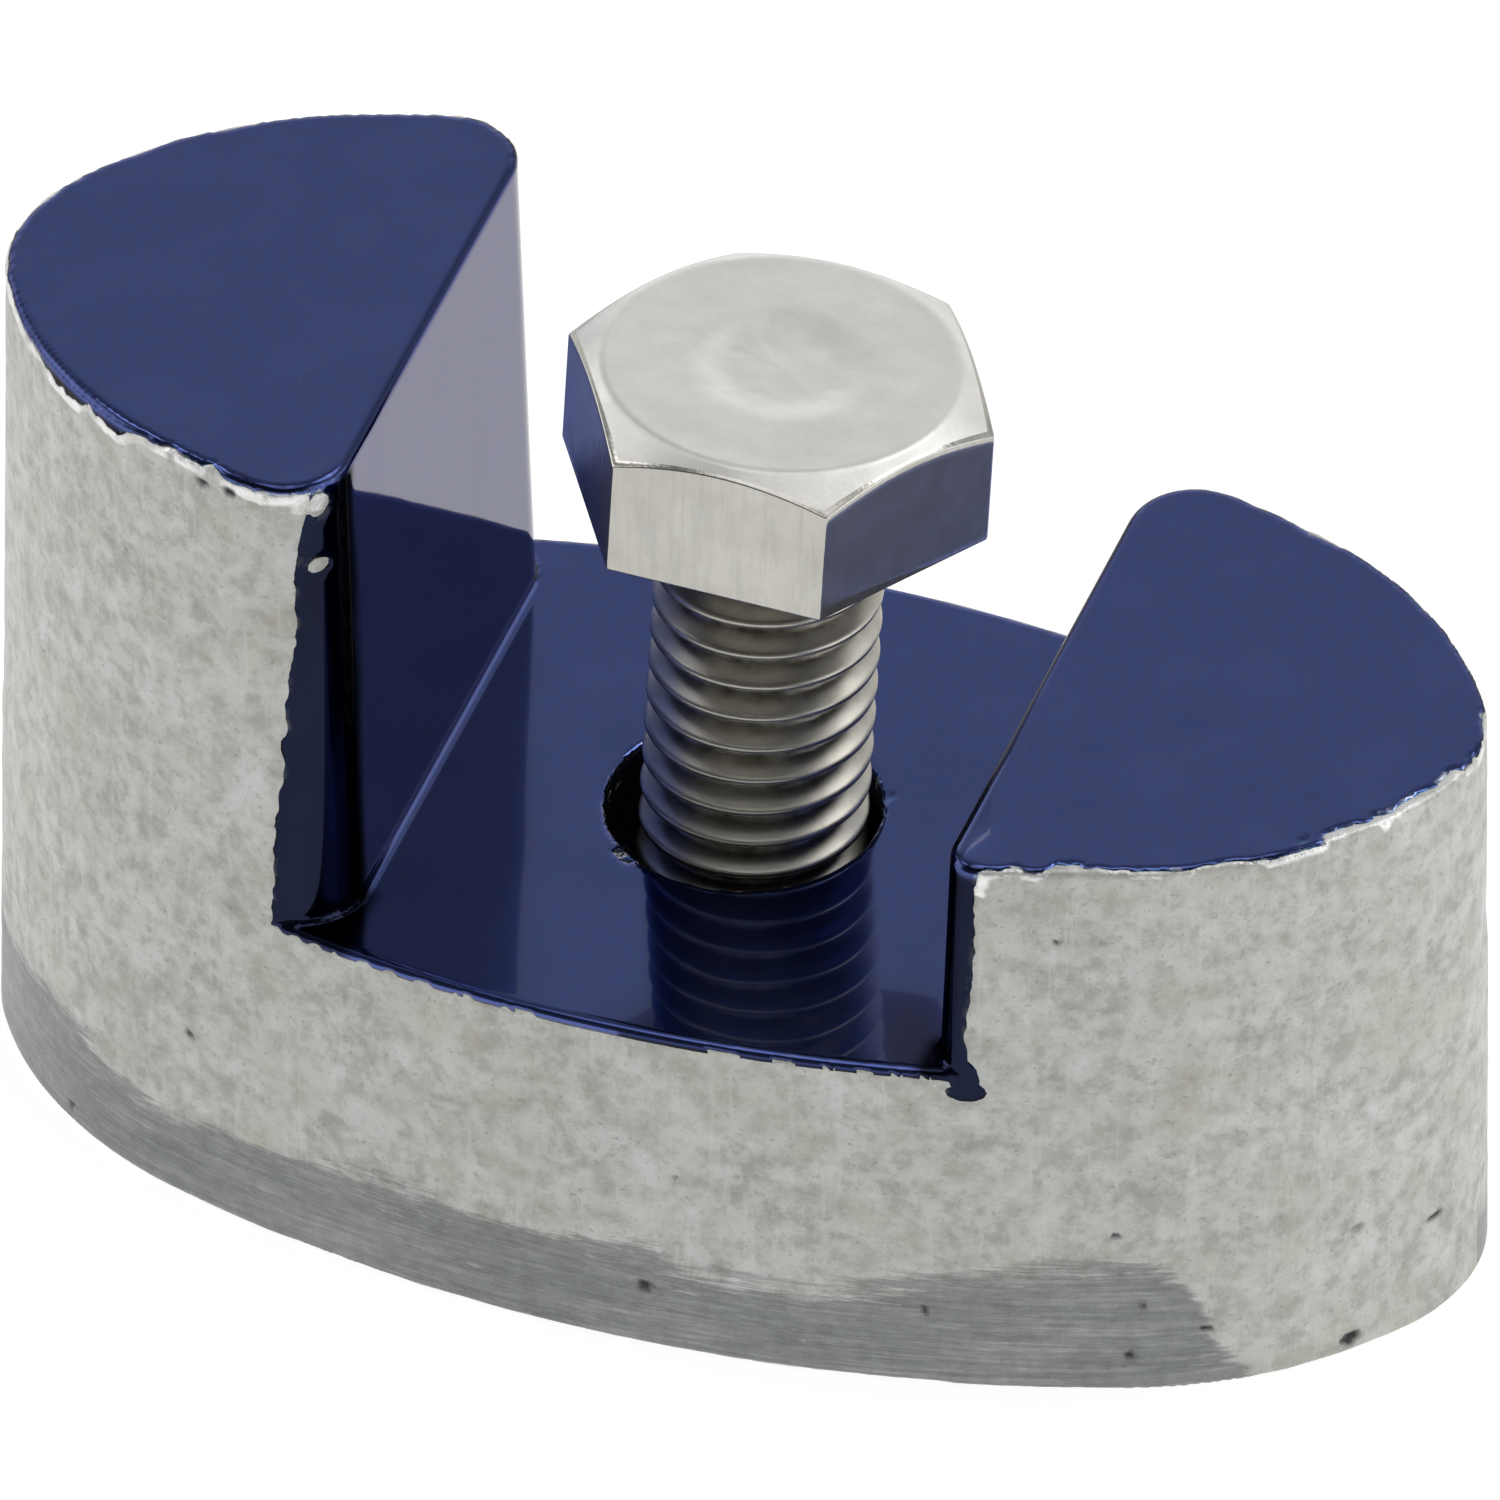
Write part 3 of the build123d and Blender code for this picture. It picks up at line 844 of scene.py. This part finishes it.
def steel_material():
    """Stainless steel: a dull head whose bevel and top are painted paler as light from above, shinier threads
    with painted shade in their roots, and painted shade under the head.
    """
    m = Nodes("stainless_screw")
    up, rad = m.attr("up"), m.attr("rad")
    is_head = m.math("GREATER_THAN", up, LENGTH - 0.01)
    face = m.attr("face")
    grain = m.noise((5200.0, 5200.0, 420.0), 3.0, 0.65)
    blotch = m.noise(800.0, 4.0, 0.6)
    col = m.ramp(blotch, (0.3, (0.46, 0.45, 0.41)), (0.7, (0.54, 0.53, 0.49)))
    col = m.mix(m.math("MULTIPLY", m.ramp(grain, (0.34, 1.0), (0.52, 0.0)), 0.35), col, (0.38, 0.37, 0.35))
    # Painted light: the bevel and the top get paler colours than the flats, as light from above.
    bevel = m.ramp(face, (0.40, 0.0), (0.50, 1.0))
    top = m.ramp(face, (0.50, 0.0), (1.0, 1.0))
    col = m.mix(bevel, col, m.ramp(blotch, (0.3, (0.68, 0.67, 0.64)), (0.7, (0.80, 0.79, 0.765))))
    col = m.mix(top, col, m.ramp(blotch, (0.3, (0.88, 0.87, 0.845)), (0.7, (0.96, 0.955, 0.93))))
    # Painted shade in the thread roots, patchy along the shank.
    root = m.ramp(m.math("SUBTRACT", rad, 2.30), (0.08, 1.0), (0.54, 0.0))
    painted_root_shade = m.math("MULTIPLY", root, m.ramp(m.noise(1500.0), (0.35, 0.5), (0.65, 1.0)))
    painted_root_shade = m.math("MULTIPLY", painted_root_shade, m.math("LESS_THAN", up, LENGTH - 0.05))
    col = m.mix(m.math("MULTIPLY", m.math("LESS_THAN", up, LENGTH - 0.05), 0.25), col, (0.46, 0.42, 0.34))
    col = m.mix(m.math("MULTIPLY", painted_root_shade, 0.92), col, (0.06, 0.050, 0.038))
    # Painted shade on the head's underside and the top of the shank just below it.
    under = m.math("MULTIPLY", m.math("LESS_THAN", up, LENGTH + 0.03),
                   m.math("GREATER_THAN", up, LENGTH - 0.6))
    col = m.mix(under, col, (0.20, 0.165, 0.12))
    rough = m.ramp(m.noise(1300.0, 4.0, 0.6), (0.3, 0.10), (0.7, 0.19))
    rough = m.mix(is_head, m.ramp(blotch, (0.3, 0.36), (0.7, 0.42)), rough)
    rough = m.mix(bevel, rough, (0.44, 0.44, 0.44))
    n1 = m.bump(m.math("MULTIPLY", grain, is_head), 0.00002, 0.35)
    n2 = m.bump(m.noise(900.0, 3.0, 0.5), 0.00004, 0.18, n1)
    metallic = m.math("SUBTRACT", 1.0, m.math("MULTIPLY", is_head, 0.12))
    m.set(color=col, metallic=metallic, rough=rough, normal=n2)
    return m.mat


def dress(obj, material, body, node):
    """Gives a piece its material and slot, the body that it rides and the CAD node that it replaces."""
    obj.data.materials.clear()
    obj.data.materials.append(material)
    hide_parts(node)
    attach(obj, body)


dress(casting, cast_material(), "block", "cast_block")
dress(coat, paint_material(), "block", "blue_coating")
dress(screw, steel_material(), "screw", "hex_bolt")

# ---------------------------------------------------------------- stage, camera, light
FLOOR_HALF, FLOOR_Z = 3.0, -0.00002              # metres; just under the part, so that nothing flickers
floor_mesh = bpy.data.meshes.new("studio_floor")
corners = [(x * FLOOR_HALF, y * FLOOR_HALF, FLOOR_Z) for x, y in ((-1, -1), (1, -1), (1, 1), (-1, 1))]
floor_mesh.from_pydata(corners, [], [(0, 1, 2, 3)])
studio = bpy.data.objects.new("studio_floor", floor_mesh)
bpy.context.scene.collection.objects.link(studio)
studio_white = Nodes("studio_white")
studio_white.set(color=(0.30, 0.30, 0.30), rough=0.9, spec=0.0)
studio_white.bsdf.inputs["Emission Color"].default_value = (1, 1, 1, 1)
studio_white.bsdf.inputs["Emission Strength"].default_value = 0.86
studio.data.materials.append(studio_white.mat)

scene = bpy.context.scene
# A long lens far away: 18.5 degrees round from the front and 38 degrees up.
AZ, EL, ROLL = 0.3227, 0.6626, 0.0035
LENS, DISTANCE = 1440.0, 1.5414
AIM = Vector((0.169, 0.0, 11.968)) * MM
back = Vector((math.sin(AZ) * math.cos(EL), -math.cos(AZ) * math.cos(EL), math.sin(EL)))
level_right = Vector((math.cos(AZ), math.sin(AZ), 0))
level_up = back.cross(level_right)
right = math.cos(ROLL) * level_right + math.sin(ROLL) * level_up
up = -math.sin(ROLL) * level_right + math.cos(ROLL) * level_up
cam_data = bpy.data.cameras.new("photo_camera")
cam = bpy.data.objects.new("photo_camera", cam_data)
scene.collection.objects.link(cam)
cam_data.sensor_width = 36.0
cam_data.lens = LENS
cam_data.clip_start, cam_data.clip_end = 0.1, 20.0
cam.matrix_world = Matrix((
    (right.x, up.x, back.x, 0), (right.y, up.y, back.y, 0), (right.z, up.z, back.z, 0), (0, 0, 0, 1)))
cam.location = AIM + back * DISTANCE
scene.camera = cam

world = bpy.data.worlds.new("studio_world")
scene.world = world
world.use_nodes = True
wt = world.node_tree
wt.nodes.clear()
SKY_STRENGTH = 4.0                               # ramps stop at 1, so levels are divided by this


def wnode(kind, source):
    """A world node whose first input is linked to source."""
    n = wt.nodes.new(kind)
    wt.links.new(source, n.inputs[0])
    return n


def wmath(op, a, b):
    n = wt.nodes.new("ShaderNodeMath")
    n.operation = op
    for socket, value in zip(n.inputs, (a, b)):
        if isinstance(value, (int, float)):
            socket.default_value = value
        else:
            wt.links.new(value, socket)
    return n.outputs[0]


def wramp(fac, *stops):
    n = wnode("ShaderNodeValToRGB", fac)
    el = n.color_ramp.elements
    while len(el) < len(stops):
        el.new(0.5)
    for e, (pos, level) in zip(el, stops):
        e.position = pos
        e.color = (level / SKY_STRENGTH, level / SKY_STRENGTH, level / SKY_STRENGTH, 1)
    return n.outputs[0]


def panel(direction, inner, outer, level):
    """A soft round light in the sky, full inside the inner angle and gone at the outer one, in degrees."""
    n = wnode("ShaderNodeVectorMath", view)
    n.operation = "DOT_PRODUCT"
    n.inputs[1].default_value = Vector(direction).normalized()
    return wramp(wmath("MAXIMUM", n.outputs["Value"], 0.0),
                 (math.cos(math.radians(outer)), 0.0), (math.cos(math.radians(inner)), level))


# Sky by height: pale at the horizon and dimmer where the tops mirror it. It is brighter behind than in front.
# Over it lie glows from both sides, a panel overhead, one behind to the right and a small one to the left.
view = wt.nodes.new("ShaderNodeTexCoord").outputs["Generated"]
across, depth, height = wnode("ShaderNodeSeparateXYZ", view).outputs
sky = wramp(wmath("MAXIMUM", height, 0.0),
            (0.0, 0.95), (0.40, 0.80), (0.54, 0.48), (0.70, 0.43), (0.80, 0.24))
shade = wramp(wmath("MULTIPLY", depth, -1.0), (0.02, 4.0), (0.50, 0.7))
total = wmath("MULTIPLY", sky, shade)
for glow in (wramp(wmath("ABSOLUTE", across, 0.0), (0.74, 0.0), (0.97, 1.1)),
             panel((0.04, -0.13, 0.99), 14, 24, 1.22),
             panel((0.475, 0.385, 0.79), 11, 17, 3.2),
             panel((-0.61, 0.02, 0.79), 5, 10, 2.6)):
    total = wmath("ADD", total, glow)
background = wnode("ShaderNodeBackground", total)
background.inputs["Strength"].default_value = SKY_STRENGTH
wnode("ShaderNodeOutputWorld", background.outputs[0])


def softbox(name, pos, aim, size, power):
    """A square area light at pos, turned to face aim."""
    data = bpy.data.lights.new(name, "AREA")
    data.shape = "RECTANGLE"
    data.size, data.size_y = size
    data.energy = power
    o = bpy.data.objects.new(name, data)
    scene.collection.objects.link(o)
    o.location = pos
    o.rotation_mode = "QUATERNION"
    o.rotation_quaternion = (Vector(aim) - Vector(pos)).to_track_quat("-Z", "Y")


softbox("left_panel", (-0.60, -0.10, 0.25), (0, 0, 0.01), (0.35, 0.35), 0.5)
softbox("right_panel", (0.60, -0.15, 0.25), (0, 0, 0.01), (0.35, 0.35), 0.4)

scene.view_settings.view_transform = "Standard"
scene.view_settings.look = "None"

bpy.context.view_layer.update()
